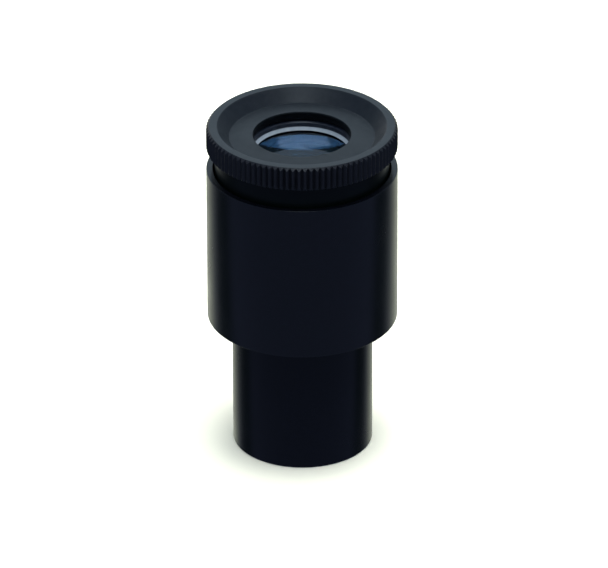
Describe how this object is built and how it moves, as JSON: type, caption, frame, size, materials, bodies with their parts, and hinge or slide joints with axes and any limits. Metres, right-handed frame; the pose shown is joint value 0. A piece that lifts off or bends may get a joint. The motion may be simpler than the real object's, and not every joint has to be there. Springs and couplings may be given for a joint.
{
  "type": "telescope eyepiece",
  "caption": "Push-fit telescope eyepiece: a knurled ring turns to raise and lower the eye lens over a fixed reticle.",
  "frame": {"origin": "on the optical axis at the open end of the barrel, which is the lowest face", "axes": "+Z along the optical axis, up through the eye lens; the guide screw is at the back, towards +Y"},
  "size_m": [0.0332, 0.0332, 0.0611],
  "materials": {
    "body_black": "semi-gloss black anodised",
    "ring_black": "satin black anodised, lightly bead blasted",
    "inner_black": "matt black anodised",
    "coated_glass": "polished, blue anti-reflection coating",
    "clear_glass": "polished",
    "screw_steel": "blackened steel",
    "brass": "turned",
    "seal_rubber": "matt"
  },
  "bodies": {
    "body": {"housing": "body_black", "barrel": "body_black", "guide_screw": "screw_steel", "barrel_lock_screw": "screw_steel", "reticle_cell": "inner_black", "field_stop": "inner_black", "reticle": "clear_glass", "reticle_lock_ring": "inner_black", "glare_baffle": "inner_black"},
    "cell": {"lens_cell": "inner_black", "eye_lens_retainer": "inner_black", "eye_lens": "coated_glass", "lens_spacer": "inner_black", "doublet_flint": "clear_glass", "doublet_crown": "clear_glass", "cell_lock_ring": "inner_black"},
    "ring": {"focus_ring": "ring_black", "focus_sleeve": "body_black", "ring_set_screw": "screw_steel", "slip_washer": "brass", "damping_o_ring": "seal_rubber"}
  },
  "joints": [
    {"name": "focus_travel", "type": "slide", "parent": "body", "child": "cell", "axis": [0, 0, 1], "range_m": [-0.0036, 0.0016]},
    {"name": "focus_turn", "type": "hinge", "parent": "cell", "child": "ring", "pos_m": [0, 0, 0.0544], "axis": [0, 0, 1], "range_deg": [-216, 96]}
  ],
  "couplings": [
    {"joint": "focus_travel", "follows": "focus_turn", "m_per_rad": 0.00095492}
  ]
}
